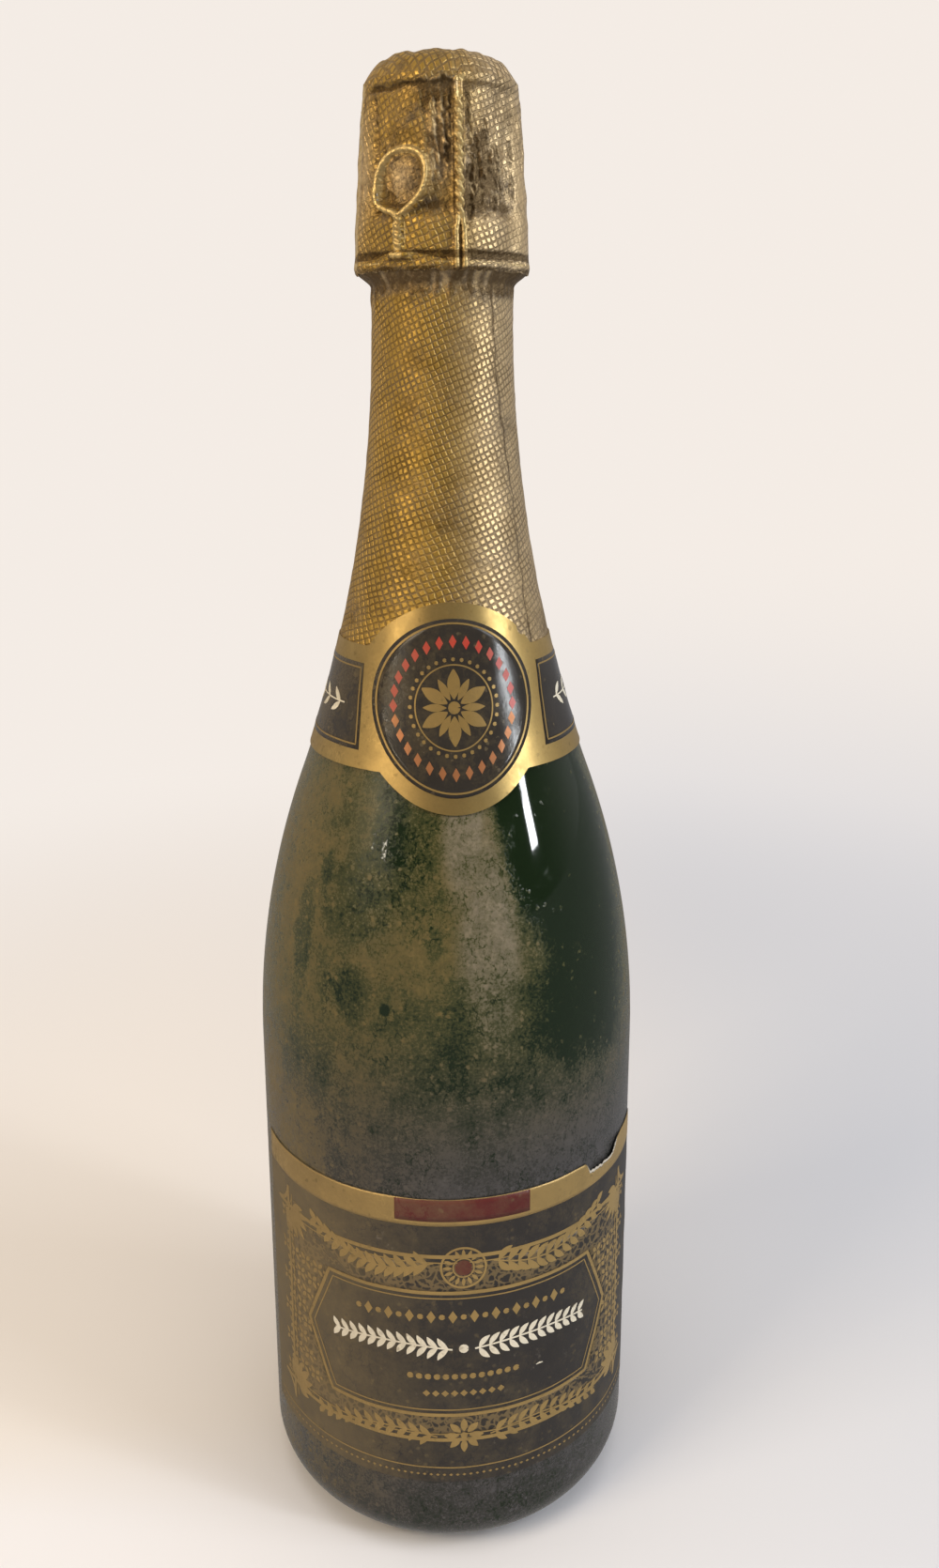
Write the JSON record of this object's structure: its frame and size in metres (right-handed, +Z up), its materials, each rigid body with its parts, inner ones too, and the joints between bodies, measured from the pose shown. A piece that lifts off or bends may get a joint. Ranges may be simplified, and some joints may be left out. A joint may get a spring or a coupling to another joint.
{
  "type": "champagne bottle",
  "caption": "Corked sparkling-wine bottle: green glass with a punt, cork under a wire cage with a closing loop, gold foil hood and skirt, paper collar label and front label.",
  "frame": {"origin": "centre of the bearing ring, on the surface that the bottle stands on", "axes": "+Z up along the bottle's axis; the labels face -Y; +X to the right of someone facing the labels"},
  "size_m": [0.088, 0.0882, 0.328],
  "materials": {
    "green_glass": "gloss",
    "wine": "gloss",
    "gold_foil": "satin",
    "label_paper": "satin",
    "pressed_cork": "matte",
    "natural_cork": "matte",
    "tinplate": "satin",
    "cage_wire": "satin"
  },
  "bodies": {
    "bottle": {"glass_bottle": "green_glass", "wine": "wine", "foil_skirt": "gold_foil", "neck_label": "label_paper", "front_label": "label_paper"},
    "cork": {"cork_body": "pressed_cork", "cork_disc_upper": "natural_cork", "cork_disc_lower": "natural_cork"},
    "wire_cage": {"cage_cap": "tinplate", "belt_wire": "cage_wire", "frame_wire_1": "cage_wire", "frame_wire_2": "cage_wire", "frame_wire_3": "cage_wire", "frame_wire_4": "cage_wire"},
    "twist_loop": {"twist_loop": "cage_wire"},
    "foil_hood": {"foil_hood": "gold_foil"}
  },
  "joints": [
    {"name": "cork_pull", "type": "slide", "parent": "bottle", "child": "cork", "axis": [0, 0, 1], "range_m": [0, 0.035]},
    {"name": "cage_lift", "type": "slide", "parent": "cork", "child": "wire_cage", "axis": [0, 0, 1], "range_m": [0, 0.045], "deforming": ["belt_wire", "frame_wire_1", "frame_wire_2", "frame_wire_3", "frame_wire_4"]},
    {"name": "hood_lift", "type": "slide", "parent": "wire_cage", "child": "foil_hood", "axis": [0, 0, 1], "range_m": [0, 0.05]},
    {"name": "loop_swing", "type": "hinge", "parent": "wire_cage", "child": "twist_loop", "pos_m": [-0.00969, -0.01409, 0.2882], "axis": [0.8241, -0.5664, 0], "range_deg": [0, 100], "deforming": ["foil_hood"]}
  ]
}
